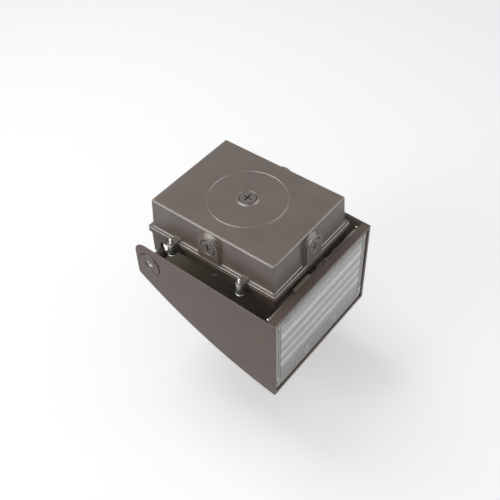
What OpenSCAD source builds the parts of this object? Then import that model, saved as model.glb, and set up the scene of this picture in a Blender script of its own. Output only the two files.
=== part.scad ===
// Adjustable wall pack light: a cast back box on the wall, a cover with two arms, and a
// wedge-shaped lamp head that tilts between the arms.
// X runs across the wall, Z is up, and the light stands out of the wall towards -Y.
// The origin is the centre of the wall face, and "out" is a distance from the wall.

/* [Back box] */
// Width of the box at the wall
box_w = 147; // [140:1:150]
// Height of the box at the wall
box_h = 190; // [184:1:194]
// Distance from the wall to the front of the box flange
box_depth = 47; // [44:1:56]
// Wall thickness of the box
box_wall = 3.5; // [2.5:0.1:4.5]
// Thickness of the face on the wall
back_t = 4; // [3:0.1:6]
// How far each wall leans out between the wall face and the flange
draft = 1.8; // [0.4:0.1:2.4]
// Radius of the upright corners of the box
corner_r = 2.2; // [2.2:0.1:5]
// Rounding of the edge round the wall face
edge_r = 1.5; // [1:0.1:2.4]
// Radius of the ring that lies on a round junction box
ring_r = 50.8; // [44:0.1:56]
// Width of the ring's bead at its foot
ring_w = 2.2; // [1.6:0.1:3]
// Height of the ring's bead over the wall face
ring_rise = 0.8; // [0.4:0.1:1]

/* [Flanges and gasket] */
// How far the flanges stand out from the box at the wall
flange_w = 6.4; // [5.5:0.1:8]
// Thickness of the box flange
box_flange_t = 3.5; // [2.5:0.1:5]
// Thickness of the pressed gasket
gasket_t = 1; // [0.6:0.1:1.6]
// Thickness of the cover flange
cover_flange_t = 3.5; // [2.5:0.1:5]
// Corner radius of both flanges
flange_r = 2.5; // [2.5:0.5:6]
// Width of the gasket round the opening
gasket_w = 6; // [4:0.1:7]

/* [Conduit entries] */
// Diameter of the conduit plugs
plug_d = 21.4; // [18:0.1:24]
// Length of a plug
plug_len = 9; // [7:0.5:12]
// Distance from the wall to the axes of the side plugs
plug_out = 21.5; // [20:0.1:23]
// Length of a plug's cross slot
slot_len = 10.5; // [7:0.5:14]
// Width of a plug's cross slot
slot_w = 2; // [1:0.1:2.4]
// Depth of a plug's cross slot
slot_depth = 2; // [1:0.1:4]
// Half width of the raised pad round a side plug
pad_r = 16; // [14:0.1:18]
// Width of the low step round a pad
pad_step_w = 1.8; // [1:0.1:2.4]
// Radius of the boss round the centre plug
boss_r = 15; // [14:0.1:18]
// Height of that boss over the wall face
boss_rise = 1.8; // [1:0.1:3]
// Width of the boss's sloped side
boss_slope = 2.3; // [1:0.1:3]

/* [Cover] */
// Depth of the cover from the gasket to its front
cover_depth = 20.5; // [18:0.5:24]
// Wall thickness of the cover
cover_wall = 3.2; // [2.4:0.1:4]
// How far the cover's side is set back from the edge of its flange
cover_inset = 4.4; // [2:0.1:5]

/* [Cover screws] */
// Height between the upper and lower cover screws
screw_pitch = 109; // [90:1:130]
// Distance of the screws from the edge of the flanges
screw_reach = 7.4; // [6:0.1:8]
// Radius of the ears and lugs round the screws
ear_r = 5; // [4.5:0.1:5.5]
// Length of the cover lug round a screw
lug_len = 10.5; // [8:0.5:12]
// Diameter of the cover screws
screw_d = 4; // [3:0.1:4.4]
// How far the box's screw ears rise over its flange, towards the wall
ear_rise = 3; // [1:0.1:5]
// How far a screw's tip stands out behind its ear
tip_len = 7.2; // [2:0.1:9]

/* [Pivot] */
// Distance from the front of the box flange to the pivot axis
pivot_reach = 37; // [36:0.5:42]
// Distance from the top of the box to the pivot axis
pivot_drop = 12.5; // [11:0.5:17]
// Width of an arm
arm_w = 13; // [10:0.5:14]
// Thickness of an arm
arm_t = 4.4; // [4:0.1:6]
// Radius of the boss round the pivot bolt
knuckle_r = 7.5; // [7:0.1:9]
// Diameter of the pivot bolt
bolt_d = 8; // [6:0.1:9]
// Radius of the bolt's head
bolt_head_r = 5.8; // [4.8:0.1:6.2]
// Height of the bolt's head
bolt_head_h = 1.8; // [1.4:0.1:3]
// Radius of the round disc on a side plate
disc_r = 17; // [14:0.1:20]
// Thickness of that disc
disc_t = 0.9; // [0.7:0.1:2]
// Thickness of the washer between arm and side plate
washer_t = 1.5; // [1:0.1:2]

/* [Lamp head] */
// Gap between the screw ears and the side plates
side_gap = 9.9; // [8:0.1:12]
// Thickness of a side plate
plate_t = 1.6; // [1.4:0.1:2.4]
// How far the head rises above the top of the box
head_over = 10; // [8:0.5:12]
// How far the lens frame reaches below the bottom of the box
head_under = 23.5; // [22:0.5:28]
// Distance from the front of the box flange to the side plates' back edge at the top
back_reach_top = 6; // [4:0.5:10]
// Distance from the front of the box flange to the lens frame
back_reach = 13.3; // [11:0.1:16]
// Depth of the lens frame from back to front
frame_depth = 141.7; // [136:0.5:150]
// How far the curved front plate bows out of its chord
front_bow = 13.4; // [6:0.1:16]
// Radius of the side plates' back corner at the top
back_corner_r = 18; // [8:0.5:20]
// Radius of the side plates' front corner at the top
front_corner_r = 7.5; // [5:0.5:12]
// Distance from the front of the box flange to the centre of that front corner
front_corner_reach = 60.5; // [56:0.5:64]
// Thickness of the curved front plate
front_t = 4.4; // [3:0.1:6]

/* [Lens frame] */
// Depth of the frame that holds the lens
rim_depth = 11; // [10:0.5:13]
// Wall thickness of the lens frame
rim_t = 4; // [3:0.1:5]
// Thickness of the ledge behind the lens
ledge_t = 3; // [2:0.1:4]
// Width of the ledge at the sides
ledge_w = 8; // [7.5:0.1:10]
// Width of the ledge along the front
ledge_front_w = 24; // [21:0.5:25]
// Distance of the front lens screws from the inside of the frame
lens_screw_in = 15.5; // [12:0.5:17]
// Width of the ledge along the wall side
ledge_back_w = 10; // [8:0.1:12]

/* [Lens] */
// Thickness of the lens
lens_t = 5; // [3.5:0.1:5.4]
// Gap between the lens and its frame
lens_gap = 0.7; // [0.4:0.1:1.2]
// Corner radius of the lens
lens_r = 8; // [5:0.5:12]
// Thickness of the lens gasket
seal_t = 1.5; // [1:0.1:2]
// Number of lens ribs and rows of LEDs
row_count = 5; // [3:1:5]
// Distance between the rows
row_pitch = 19.5; // [15:0.5:20]
// Distance from the back of the lens frame to the first row
row_start = 27; // [22:0.5:28]
// Width of a lens rib
rib_w = 15; // [9:0.5:15]
// Height of a lens rib
rib_rise = 1.1; // [0.6:0.1:1.4]
// Width of the plain border beside the ribs
lens_border = 8.5; // [7:0.5:12]
// Diameter of the lens screws
lens_screw_d = 4; // [3:0.1:5]

/* [Lamp] */
// Thickness of the LED board
board_t = 1.6; // [1:0.1:2]
// LEDs in a row
led_count = 12; // [6:1:14]
// Size of an LED
led_size = 3.5; // [2.5:0.1:5]
// Height of an LED
led_h = 1.2; // [0.8:0.1:1.6]
// Thickness of the heat sink's plate
sink_t = 6; // [4:0.5:8]
// Number of fins
fin_count = 7; // [5:1:9]
// Width over the fins
fin_span = 65; // [56:1:72]
// Thickness of a fin
fin_t = 3; // [2:0.1:4]
// Gap between the cover's lead bush and the fins' edges
fin_room = 2; // [1.5:0.5:6]

/* [Inside the box] */
// Length of the LED driver
driver_l = 120; // [90:1:124]
// Width of the LED driver
driver_w = 62; // [50:1:70]
// Thickness of the LED driver
driver_t = 27; // [20:0.5:30]
// Length of the terminal block
terminal_l = 34; // [28:1:40]

/* [Hidden] */
$fn = 48;

// Clearances, overruns and small sizes
over = 1;                 // overrun of every cut
gap = 0.3;                // clearance between the housing and the moving head
seat_gap = 0.25;          // clearance of a plug or screw in its hole
run_gap = 0.05;           // radial clearance of the pivot bolt in the side plate
chamfer = 0.8;            // bevel round screw heads and plugs
root = 1;                 // fillet between the box's wall and its flange
lip = 0.8;                // bevel round the box flange
edge_steps = 4;           // steps of the rounding round the wall face
corner_share = 0.8;       // how much the box's corners sharpen towards the wall face
hub_r = 10;               // radius of the side plate's inner hub at the pivot
hub_t = 3;                // height of that hub over the plate's inner face
recess = 2.4;             // depth of the bolt's recess in the side plate
rim_head_r = 2.1;         // radius of a frame screw's head
rim_shank_r = 1.2;        // radius of a frame screw's shank
rim_bite = 1.8;           // how far a frame screw reaches into the ledge
plate_lip_t = 0.6;        // thickness of the side plates' back edge
plate_step = 1.4;         // depth of the step on the inner side of that edge
back_screw_in = 6.2;      // distance of the lens screws on the wall side from the inside of the frame
back_screw_shift = 3;     // how far they stand nearer the middle than the front ones
bush_room = 5.4;          // space between the lead bush and the driver
bush_in = 13;             // height of the lead bush over the bottom of the box
terminal_drop = 29;       // distance of the terminal block from the top of the box
seal_h = 1;               // thickness of a plug's seal
seat_w = 2.5;             // width of the step that a plug's seal rests on
socket_r = 3;             // radius of the pivot bolt's hexagon socket
boss_gap = 1.6;           // space between the arm and the pivot boss
boss_end = 4;             // solid end of the pivot boss behind its bolt
arm_step = 1.4;           // step from the edge of the cover's flange to the arm
foot_rise = 3;            // height of the arm's foot over the pivot axis
washer_r = 7.5;           // outer radius of a pivot washer
head_r = 3.9;             // radius of a cover screw's head
head_h = 2.6;             // height of a cover screw's head
lug_r = 4.8;              // outer radius of a cover lug
notch_w = 2.4;            // width of the pointer notch in a pivot disc
notch_share = 0.68;       // how far out on the disc that notch lies
notch_turn = 60;          // angle of that notch from straight down towards the front
notch_depth = 0.9;        // depth of that notch
disc_groove = 0.9;        // width of the groove round a pivot disc
disc_groove_t = 0.7;      // depth of that groove
groove_depth = 0.8;       // depth of the groove round the lens ribs
groove_w = 2;             // width of that groove
small_head_r = 3.6;       // radius of a lens or rim screw's head
small_head_h = 2;         // height of a lens or rim screw's head
small_shank_r = 1.7;      // radius of a small screw's shank
small_shank_l = 3.6;      // length of a small screw's shank
plate_r = 2;              // corner radius of flat inner plates
curve_steps = 28;         // points along the curved front plate
corner_steps = 8;         // points along a rounded corner

// The box and its flanges
box_w_front = box_w + 2 * draft;
box_h_front = box_h + 2 * draft;
flange_outer_w = box_w + 2 * flange_w;
flange_outer_h = box_h + 2 * flange_w;
flange_back = box_depth - box_flange_t;
ear_back = flange_back - ear_rise;
tip_out = ear_back - tip_len;
cover_back = box_depth + gasket_t;
cover_front = cover_back + cover_depth;
cover_inner_front = cover_front - cover_wall;
cover_w = flange_outer_w - 2 * cover_inset;
cover_h = flange_outer_h - 2 * cover_inset;
room_w = box_w - 2 * box_wall;
room_h = box_h - 2 * box_wall;
room_r = corner_r - box_wall / 2;

// The screws and the pivot
screw_x = flange_outer_w / 2 + screw_reach;
screw_z = screw_pitch / 2;
lug_end = cover_back + lug_len;
plate_in = screw_x + ear_r + side_gap;
head_w = 2 * (plate_in + plate_t);
head_top = box_h / 2 + head_over;
head_bottom = box_h / 2 + head_under;
back_out_top = box_depth + back_reach_top;
back_out_bottom = box_depth + back_reach;
front_out = back_out_bottom + frame_depth;
front_corner_out = box_depth + front_corner_reach;
pivot_out = box_depth + pivot_reach;
pivot_z = box_h / 2 - pivot_drop;
arm_x = cover_w / 2;
arm_top = flange_outer_h / 2 - arm_step;
knuckle_start = arm_x + boss_gap;
knuckle_end = plate_in - hub_t - gap - washer_t;
bolt_r = bolt_d / 2;
bolt_start = knuckle_start + boss_end;
bolt_seat = head_w / 2 - recess + gap;

// The side outline of the head, as points of distance from the wall and height
corner_turn = 33;
front_corner = [front_corner_out, head_top - front_corner_r];
front_top = front_corner + front_corner_r * [cos(corner_turn), sin(corner_turn)];
front_low = [front_out, -head_bottom];
chord = front_low - front_top;
chord_normal = [-chord[1], chord[0]] / norm(chord);
function arc(centre, r, from, to) =
    [for (i = [0 : corner_steps]) let (a = from + (to - from) * i / corner_steps)
        centre + r * [cos(a), sin(a)]];
// Point at share t of the front curve, moved inwards by depth
function front_edge(t, depth) =
    front_top + t * chord + (4 * t * (1 - t) * front_bow - depth) * chord_normal;
function front_curve(from, to, depth) =
    [for (i = [0 : curve_steps]) front_edge(from + (to - from) * i / curve_steps, depth)];

// The lens frame and what it holds
rim_z = -head_bottom + rim_depth;
ledge_z = rim_z - ledge_t;
lens_back_z = ledge_z - seal_t;
lens_front_z = lens_back_z - lens_t;
open_w = head_w - 2 * rim_t;
open_back = back_out_bottom + rim_t;
open_front = front_out - rim_t;
open_mid = (open_back + open_front) / 2;
lens_w = open_w - 2 * lens_gap;
lens_h = open_front - open_back - 2 * lens_gap;
ledge_hole_w = open_w - 2 * ledge_w;
ledge_hole_back = open_back + ledge_back_w;
ledge_hole_front = open_front - ledge_front_w;
row_out = back_out_bottom + row_start;
row_last = row_out + (row_count - 1) * row_pitch;
rib_l = lens_w - 2 * lens_border;
rib_r = (rib_w * rib_w / 4 + rib_rise * rib_rise) / (2 * rib_rise);
band_out = (row_last + rib_w / 2 + open_front) / 2;
side_screw_x = lens_w / 2 - lens_border / 2;

// The long and the short lead guide: start in x, width and height
long_guide_x = 12;
long_guide_w = 33;
long_guide_h = 6;
short_guide_x = -26;
short_guide_w = 8;
short_guide_h = 3;
lead_guides = [[long_guide_x, long_guide_w, long_guide_h], [short_guide_x, short_guide_w, short_guide_h]];

// The heat sink and the board on it
sink_margin = 7;
sink_side = 2;
sink_edge = 4;
sink_w = ledge_hole_w + 2 * sink_side;
sink_back = ledge_hole_back - sink_margin;
sink_front = ledge_hole_front + sink_margin;
sink_mid = (sink_back + sink_front) / 2;
board_gap = 1.5;
board_w = ledge_hole_w - 2 * board_gap;
board_back = ledge_hole_back + board_gap;
board_front = row_last + led_size + board_gap;
fin_pitch = (fin_span - fin_t) / (fin_count - 1);
fin_start_share = 0.27;
fin_foot = sink_t / 2;
fin_gap = 0.5;
cheek_w_share = 0.36;
cheek_depth = 5;
cheek_h = 12;
gland_x = -3;
gland_len = 16;
gland_seat_d = 18;
bush_lip = 1.6;
fin_out = cover_front + bush_lip + fin_room;
gland_out = fin_out + gland_len;

// Colours
bronze = "#71675f";
steel = "#c9c9c6";
black = "#2a2a2a";
clear = "#c8cfcf";

// Turns a drawing of the wall plane (x, z) into a solid between two distances from the wall
module between(out_from, out_to) {
    translate([0, -out_from, 0]) rotate([90, 0, 0]) linear_extrude(out_to - out_from) children();
}

// Turns a side drawing (out, z) into a solid between two values of x
module across(x_from, x_to) {
    translate([x_to, 0, 0]) rotate([90, 0, -90]) linear_extrude(x_to - x_from) children();
}

// Turns a drawing (x, out) seen from below into a solid between two heights
module slab(z_from, z_to) {
    translate([0, 0, z_from]) linear_extrude(z_to - z_from) mirror([0, 1]) children();
}

// Round rod along X from x_from to x_to about a point (out, z)
module rod_x(out, z, r, x_from, x_to) {
    translate([x_from, -out, z]) rotate([0, 90, 0]) cylinder(r = r, h = x_to - x_from);
}

// Round rod along Y about a point (x, z), between two distances from the wall
module rod_y(x, z, r, out_from, out_to) {
    translate([x, -out_from, z]) rotate([90, 0, 0]) cylinder(r = r, h = out_to - out_from);
}

module rounded_rect(w, h, r) {
    square([w - 2 * r, h], center = true);
    square([w, h - 2 * r], center = true);
    for (sx = [-1, 1], sy = [-1, 1])
        translate([sx * (w / 2 - r), sy * (h / 2 - r)]) circle(r);
}

// Children drawn once for each side, mirrored for the left one
module both_sides() {
    children();
    mirror([1, 0, 0]) children();
}

module at_screws() {
    for (sx = [-1, 1], sz = [-1, 1]) translate([sx * screw_x, 0, sz * screw_z]) children();
}

// Places children drawn along -Z with their face at the origin on each conduit entry
module at_entry(which) {
    if (which == "back")
        translate([0, boss_rise, 0]) rotate([-90, 0, 0]) children();
    if (which == "right")
        translate([flange_outer_w / 2, -plug_out, 0]) rotate([0, 90, 0]) children();
    if (which == "left")
        translate([-flange_outer_w / 2, -plug_out, 0]) rotate([0, -90, 0]) children();
    if (which == "bottom")
        translate([0, -plug_out, -flange_outer_h / 2]) rotate([0, 180, 0]) children();
}

// Plan of the D-shaped pad: x along the wall's edge, y towards the wall face
module pad_plan(r) {
    circle(r);
    translate([-r, plug_out - flange_back]) square([2 * r, flange_back - plug_out]);
}

// A pad lying on a side wall, drawn with its face at z = 0 and its body below
module pad() {
    step_rise = flange_w / 2;
    translate([0, 0, -flange_w - draft]) linear_extrude(flange_w + draft) pad_plan(pad_r);
    translate([0, 0, -flange_w - draft]) linear_extrude(step_rise + draft)
        pad_plan(pad_r + pad_step_w);
}

module entry_hole() {
    translate([0, 0, -plug_len - seal_h]) cylinder(d = plug_d + 2 * seat_gap, h = plug_len + seal_h + over);
    translate([0, 0, -plug_len - 2 * flange_w]) cylinder(d = plug_d - 2 * seat_w, h = plug_len + 2 * flange_w);
    translate([0, 0, -chamfer]) cylinder(d1 = plug_d + 2 * seat_gap, d2 = plug_d + 2 * seat_gap + 4 * chamfer, h = 2 * chamfer);
}

// Inner end of an entry's thread, standing into the room of the box
module entry_collar() {
    translate([0, 0, -plug_len - seal_h - box_wall]) cylinder(r = boss_r, h = plug_len + box_wall);
}

module box_body() {
    // The walls, with the rounded edge round the wall face
    hull() {
        for (i = [0 : edge_steps]) let (a = 90 * i / edge_steps, inset = edge_r * (1 - cos(a)))
            between(edge_r * (1 - sin(a)), edge_r + over)
                rounded_rect(box_w - 2 * inset, box_h - 2 * inset, corner_r * (1 - corner_share * (1 - cos(a))));
        between(flange_back, box_depth) rounded_rect(box_w_front, box_h_front, corner_r);
    }
    // Fillet at the foot of the walls
    hull() {
        between(flange_back - root, flange_back + over) rounded_rect(box_w_front, box_h_front, corner_r);
        between(flange_back, flange_back + over)
            rounded_rect(box_w_front + 2 * root, box_h_front + 2 * root, corner_r + root);
    }
    // The flange, bevelled towards the wall
    hull() {
        between(flange_back, box_depth)
            rounded_rect(flange_outer_w - 2 * lip, flange_outer_h - 2 * lip, flange_r - lip);
        between(flange_back + lip, box_depth) rounded_rect(flange_outer_w, flange_outer_h, flange_r);
    }
}

// An ear or lug that joins the edge of a flange
module ear(r, out_from, out_to) {
    reach = screw_reach + flange_w;
    between(out_from, out_to) {
        circle(r);
        translate([-reach, -r]) square([reach, 2 * r]);
    }
}

module at_right_screws() {
    for (sz = [-1, 1]) translate([screw_x, 0, sz * screw_z]) children();
}

module back_box() color(bronze) difference() {
    union() {
        box_body();
        both_sides() at_right_screws() {
            ear(ear_r, ear_back + lip, box_depth);
            translate([0, -ear_back, 0]) rotate([90, 0, 0]) cylinder(r1 = ear_r - lip, r2 = ear_r, h = lip);
        }
        at_entry("back") translate([0, 0, -boss_rise]) cylinder(r1 = boss_r, r2 = boss_r - boss_slope, h = boss_rise);
        // Bead with sloped sides
        rotate([90, 0, 0]) rotate_extrude($fn = 96) polygon([
            [ring_r - ring_w / 2, 0], [ring_r - ring_w / 2 + ring_rise, -ring_rise],
            [ring_r + ring_w / 2 - ring_rise, -ring_rise], [ring_r + ring_w / 2, 0],
            [ring_r + ring_w / 2, over], [ring_r - ring_w / 2, over]]);
        both_sides() at_entry("right") pad();
        at_entry("bottom") pad();
    }
    difference() {
        between(back_t, box_depth + over) rounded_rect(room_w, room_h, room_r);
        for (which = ["back", "left", "right", "bottom"]) at_entry(which) entry_collar();
    }
    for (which = ["back", "left", "right", "bottom"]) at_entry(which) entry_hole();
    at_screws() rod_y(0, 0, screw_d / 2 + seat_gap, ear_back - over, box_depth + over);
}

// A plug drawn with its slotted face at z = 0
module plug() color(bronze) difference() {
    union() {
        translate([0, 0, -plug_len]) cylinder(d = plug_d, h = plug_len - chamfer);
        translate([0, 0, -chamfer]) cylinder(d1 = plug_d, d2 = plug_d - 2 * chamfer, h = chamfer);
    }
    for (turn = [0, 90]) rotate([0, 0, turn])
        translate([-slot_len / 2, -slot_w / 2, -slot_depth]) cube([slot_len, slot_w, slot_depth + over]);
    translate([0, 0, -plug_len - over]) cylinder(d = plug_d / 2, h = plug_len / 2 + over);
}

module plug_back() at_entry("back") plug();
module plug_left() at_entry("left") plug();
module plug_right() at_entry("right") plug();
module plug_bottom() at_entry("bottom") plug();

module plug_seals() color(black) for (which = ["back", "left", "right", "bottom"])
    at_entry(which) translate([0, 0, -plug_len - seal_h]) difference() {
        cylinder(d = plug_d, h = seal_h);
        translate([0, 0, -over]) cylinder(d = plug_d - 2 * seat_w, h = seal_h + 2 * over);
    }

module box_gasket() color(black) between(box_depth, cover_back) difference() {
    rounded_rect(room_w + 2 * gasket_w, room_h + 2 * gasket_w, corner_r + gasket_w / 2);
    rounded_rect(room_w, room_h, room_r);
}

// Side plan of an arm, a strip from the cover's flange out past the pivot
module arm_plan() {
    translate([cover_back, arm_top - arm_w]) square([pivot_out + knuckle_r - cover_back, arm_w]);
}

// Side plan of the arm's foot, which joins the strip to the pivot boss
module foot_plan() {
    translate([pivot_out - knuckle_r / 4, pivot_z + foot_rise])
        square([knuckle_r * 5 / 4, knuckle_r - foot_rise]);
}

module box_cover() color(bronze) difference() {
    union() {
        between(cover_back, cover_back + cover_flange_t) rounded_rect(flange_outer_w, flange_outer_h, flange_r);
        between(cover_back, cover_front) rounded_rect(cover_w, cover_h, flange_r);
        both_sides() {
            at_right_screws() ear(lug_r, cover_back, lug_end);
            across(arm_x - arm_t, arm_x) arm_plan();
            across(arm_x - arm_t, knuckle_end - chamfer) foot_plan();
            rod_x(pivot_out, pivot_z, knuckle_r, knuckle_start, knuckle_end);
        }
    }
    between(cover_back - over, cover_inner_front) rounded_rect(room_w, room_h, room_r);
    at_screws() rod_y(0, 0, screw_d / 2 + seat_gap, cover_back - over, lug_end + over);
    both_sides() rod_x(pivot_out, pivot_z, bolt_r + seat_gap, bolt_start - seat_gap, knuckle_end + over);
    rod_y(bush_x, bush_z, bush_r, cover_inner_front - over, cover_front + over);
    at_driver_screws() rod_y(0, 0, small_shank_r, cover_inner_front - over, cover_front + over);
}

module cover_screws() color(steel) at_screws() {
    rod_y(0, 0, screw_d / 2, tip_out + screw_d / 4, lug_end + chamfer);
    translate([0, -tip_out, 0]) rotate([90, 0, 0])
        cylinder(r1 = screw_d / 4, r2 = screw_d / 2, h = screw_d / 4);
    rod_y(0, 0, head_r, lug_end, lug_end + head_h / 2);
    translate([0, -(lug_end + head_h / 2), 0]) rotate([90, 0, 0])
        cylinder(r1 = head_r, r2 = head_r - chamfer, h = head_h / 2);
}

// Where the leads leave the cover
bush_x = gland_x;
bush_z = bush_in - box_h / 2;
bush_r = 7;
bush_bore_r = 3.5;

// The driver lies on the inside of the cover's front, held by a screw at each end
driver_z = bush_z + bush_r + bush_lip + bush_room + driver_l / 2;
driver_front = cover_inner_front;
driver_back = driver_front - driver_t;
tab_l = 9;
tab_t = 2;
tab_share = 0.6;
driver_screw_z = driver_l / 2 - tab_l / 2;
module at_driver_screws() {
    for (sz = [-1, 1]) translate([0, 0, driver_z + sz * driver_screw_z]) children();
}

module led_driver() color("#d8d8d4") difference() {
    union() {
        translate([0, 0, driver_z]) {
            between(driver_back, driver_front) rounded_rect(driver_w, driver_l - 2 * tab_l, plate_r);
            between(driver_front - tab_t, driver_front) rounded_rect(driver_w * tab_share, driver_l, plate_r);
        }
    }
    at_driver_screws() rod_y(0, 0, small_shank_r + seat_gap, driver_front - tab_t - over, driver_front + over);
}

module driver_screws() color(steel) at_driver_screws() {
    rod_y(0, 0, small_head_r, driver_front - tab_t - small_head_h, driver_front - tab_t);
    rod_y(0, 0, small_shank_r, driver_front - tab_t, cover_front);
}

terminal_x = 40;
terminal_z = box_h / 2 - terminal_drop;
terminal_h = 15;
terminal_d = 13;
pole_count = 3;
pole_pitch = terminal_l / pole_count;
module at_poles() {
    for (i = [0 : pole_count - 1])
        translate([terminal_x + (i - (pole_count - 1) / 2) * pole_pitch, 0, terminal_z]) children();
}

module terminal_block() color("#e9e4d6") difference() {
    translate([terminal_x, 0, terminal_z]) between(back_t, back_t + terminal_d) rounded_rect(terminal_l, terminal_h, plate_r);
    at_poles() rod_y(0, 0, small_head_r, back_t + terminal_d - 2 * small_head_h, back_t + terminal_d + over);
}

module terminal_screws() color(steel) at_poles()
    rod_y(0, 0, small_head_r - seat_gap, back_t + terminal_d - 2 * small_head_h, back_t + terminal_d - small_head_h);

ground_x = -48;
ground_z = terminal_z;
module ground_screw() color("#4f8a52") translate([ground_x, 0, ground_z]) {
    rod_y(0, 0, head_r, back_t, back_t + head_h);
}

module lead_bush() color(black) difference() {
    union() {
        rod_y(bush_x, bush_z, bush_r - seat_gap, cover_inner_front - bush_lip, cover_front + bush_lip);
        rod_y(bush_x, bush_z, bush_r + bush_lip, cover_front, cover_front + bush_lip);
        rod_y(bush_x, bush_z, bush_r + bush_lip, cover_inner_front - bush_lip, cover_inner_front);
    }
    rod_y(bush_x, bush_z, bush_bore_r, cover_inner_front - 2 * bush_lip, cover_front + 2 * bush_lip);
}

module pivot_bolts() color(steel) both_sides() difference() {
    union() {
        rod_x(pivot_out, pivot_z, bolt_r, bolt_start, bolt_seat + chamfer);
        rod_x(pivot_out, pivot_z, bolt_head_r, bolt_seat, bolt_seat + bolt_head_h);
    }
    translate([bolt_seat + bolt_head_h / 3, -pivot_out, pivot_z]) rotate([0, 90, 0])
        cylinder(r = socket_r, h = bolt_head_h, $fn = 6);
}

module pivot_washers() color(steel) both_sides() difference() {
    rod_x(pivot_out, pivot_z, washer_r, knuckle_end, knuckle_end + washer_t);
    rod_x(pivot_out, pivot_z, bolt_r + seat_gap, knuckle_end - over, knuckle_end + washer_t + over);
}

// Outline of a side plate of the head
module plate_plan() {
    polygon(concat(
        arc([back_out_top + back_corner_r, head_top - back_corner_r], back_corner_r, 180, 90),
        arc(front_corner, front_corner_r, 90, corner_turn),
        front_curve(0, 1, 0),
        [[back_out_bottom, -head_bottom]]));
}

// The same outline behind the step that makes its back edge thin
module plate_inner_plan() {
    polygon(concat(
        arc([back_out_top + back_corner_r, head_top - back_corner_r], back_corner_r - plate_step, 180, 90),
        arc(front_corner, front_corner_r, 90, corner_turn),
        front_curve(0, 1, 0),
        [[back_out_bottom + plate_step, -head_bottom]]));
}

// Section of the curved front plate
module front_plan() {
    polygon(concat(front_curve(0, 1, 0), front_curve(1, 0, front_t)));
}

module rim_plan(w, out_from, out_to) {
    translate([-w / 2, out_from]) square([w, out_to - out_from]);
}

module head_housing() color(bronze) difference() {
    union() {
        both_sides() {
            across(plate_in, head_w / 2 - plate_lip_t) plate_inner_plan();
            across(head_w / 2 - plate_lip_t, head_w / 2) plate_plan();
        }
        intersection() {
            across(-plate_in - over / 2, plate_in + over / 2) front_plan();
            slab(-head_bottom, head_top) rim_plan(head_w, 0, front_out + front_bow);
        }
        intersection() {
            across(-head_w / 2, head_w / 2) plate_plan();
            slab(-head_bottom, rim_z) rim_plan(head_w, 0, front_out);
        }
        both_sides() rod_x(pivot_out, pivot_z, hub_r, plate_in - hub_t, plate_in + plate_t / 2);
        at_rim_screws() translate([0, 0, rim_z - ledge_t / 2]) cylinder(r = rim_boss_r, h = rim_boss_h + ledge_t / 2);
        // Guides for the leads along the back wall of the frame
        for (guide = lead_guides) slab(rim_z - ledge_t / 2, rim_z + guide[2])
            translate([guide[0] + guide[1] / 2, 0]) rim_plan(guide[1], back_out_bottom, back_out_bottom + rim_t);
    }
    slab(-head_bottom - over, ledge_z) rim_plan(open_w, open_back, open_front);
    slab(-head_bottom - over, rim_z + over) rim_plan(ledge_hole_w, ledge_hole_back, ledge_hole_front);
    both_sides() {
        rod_x(pivot_out, pivot_z, bolt_r + run_gap, plate_in - hub_t - over, head_w / 2 + over);
        rod_x(pivot_out, pivot_z, bolt_head_r + chamfer, head_w / 2 - recess, head_w / 2 + over);
        difference() {
            rod_x(pivot_out, pivot_z, disc_r + disc_groove, head_w / 2 - disc_groove_t, head_w / 2 + over);
            rod_x(pivot_out, pivot_z, disc_r, head_w / 2 - disc_groove_t - over, head_w / 2 + 2 * over);
        }
    }
    at_rim_screws() translate([0, 0, rim_z - rim_bite - seat_gap]) cylinder(r = rim_shank_r + seat_gap, h = rim_bite + rim_boss_h + over);
    at_lens_screws() translate([0, 0, ledge_z - over]) cylinder(d = lens_screw_d + 2 * seat_gap, h = ledge_t + 2 * over);
    at_sink_screws() translate([0, 0, ledge_z - over]) cylinder(r = small_shank_r + seat_gap, h = ledge_t + 2 * over);
}

module pivot_discs() color(bronze) both_sides() difference() {
    union() {
        rod_x(pivot_out, pivot_z, disc_r, head_w / 2, head_w / 2 + disc_t - chamfer);
        translate([head_w / 2 + disc_t - chamfer, -pivot_out, pivot_z]) rotate([0, 90, 0])
            cylinder(r1 = disc_r, r2 = disc_r - chamfer, h = chamfer);
    }
    rod_x(pivot_out, pivot_z, bolt_head_r + chamfer, head_w / 2 - over, head_w / 2 + disc_t + over);
    // Pointer notch between the recess and the edge
    translate([head_w / 2 + disc_t - notch_depth, -pivot_out, pivot_z]) rotate([-notch_turn, 0, 0])
        translate([0, 0, -disc_r * notch_share]) rotate([0, 90, 0])
            cylinder(r = notch_w, h = notch_depth + over, $fn = 3);
}

// Two bosses in the back corners of the ledge, each with a screw
rim_boss_r = 2.4;
rim_boss_h = 4.4;
rim_boss_room = 2;
rim_screw_x = open_w / 2 - rim_boss_r - rim_boss_room;
rim_screw_out = open_back + rim_boss_r;
module at_rim_screws() {
    for (sx = [-1, 1]) translate([sx * rim_screw_x, -rim_screw_out, 0]) children();
}

module rim_screws() color(steel) at_rim_screws() {
    translate([0, 0, rim_z + rim_boss_h]) cylinder(r1 = rim_head_r, r2 = rim_head_r - chamfer, h = small_head_h);
    translate([0, 0, rim_z - rim_bite]) cylinder(r = rim_shank_r, h = rim_bite + rim_boss_h + chamfer);
}

// Side plan of a fin, lying along the curved front plate
module fin_plan() {
    start = front_edge(fin_start_share, front_t + fin_gap);
    intersection() {
        polygon(concat([[fin_out, rim_z + fin_foot]], [start], front_curve(fin_start_share, 1, front_t + fin_gap), [[fin_out, -head_bottom]]));
        translate([0, rim_z + fin_foot]) square([front_out, head_top + head_bottom]);
    }
}

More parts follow.
